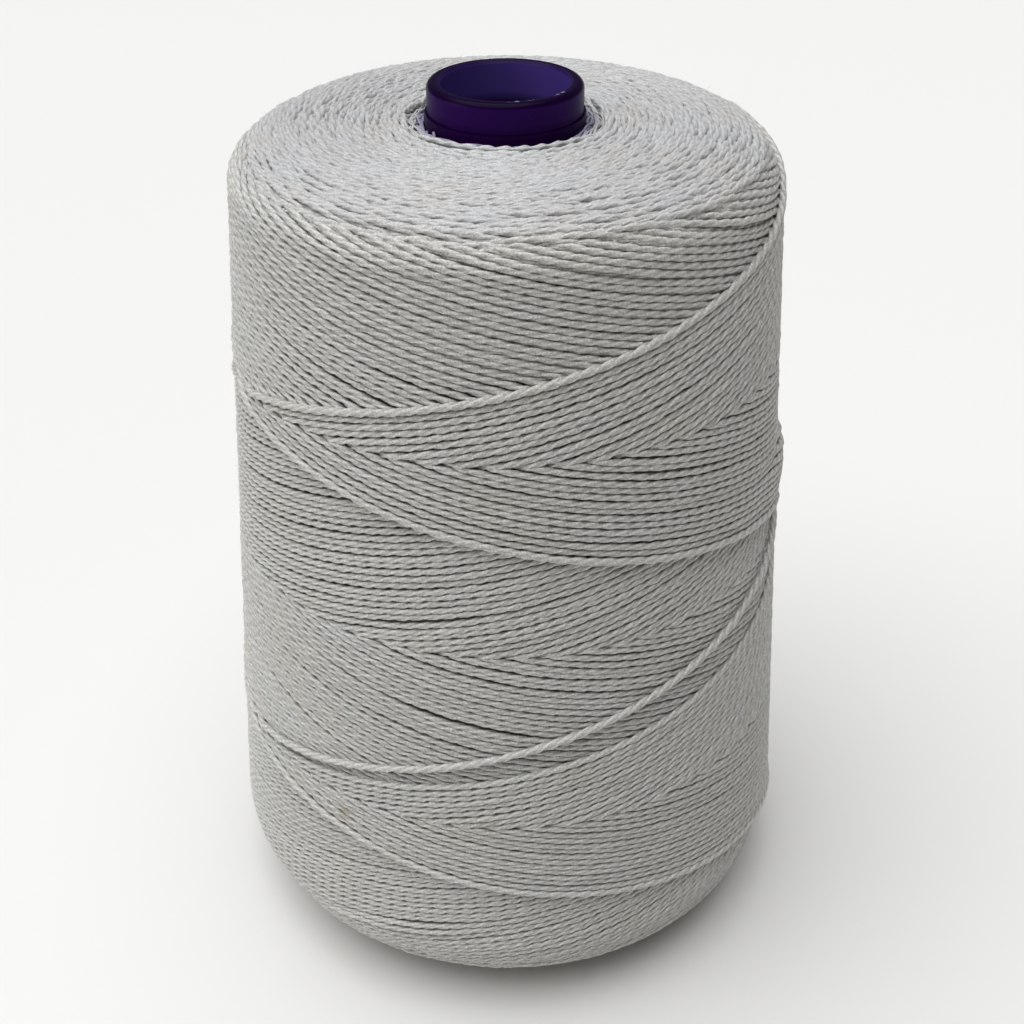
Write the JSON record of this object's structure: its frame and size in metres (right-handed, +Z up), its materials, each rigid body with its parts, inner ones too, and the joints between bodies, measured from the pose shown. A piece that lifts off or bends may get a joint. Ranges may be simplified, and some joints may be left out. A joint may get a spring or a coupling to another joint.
{
  "type": "waxed thread spool",
  "caption": "Tapered package of waxed twine, cross-wound on a hollow moulded plastic cone former whose round nose stands above the thread.",
  "frame": {"origin": "centre of the former's foot ring, which the spool stands on", "axes": "+Z up the winding axis, from the wide foot to the narrow nose; the front is -Y"},
  "size_m": [0.1214, 0.1214, 0.1785],
  "materials": {
    "purple_plastic": "satin gloss",
    "waxed_twine": "waxed, soft sheen"
  },
  "bodies": {
    "root": {"plastic_former": "purple_plastic", "thread_winding": "waxed_twine"}
  },
  "joints": []
}
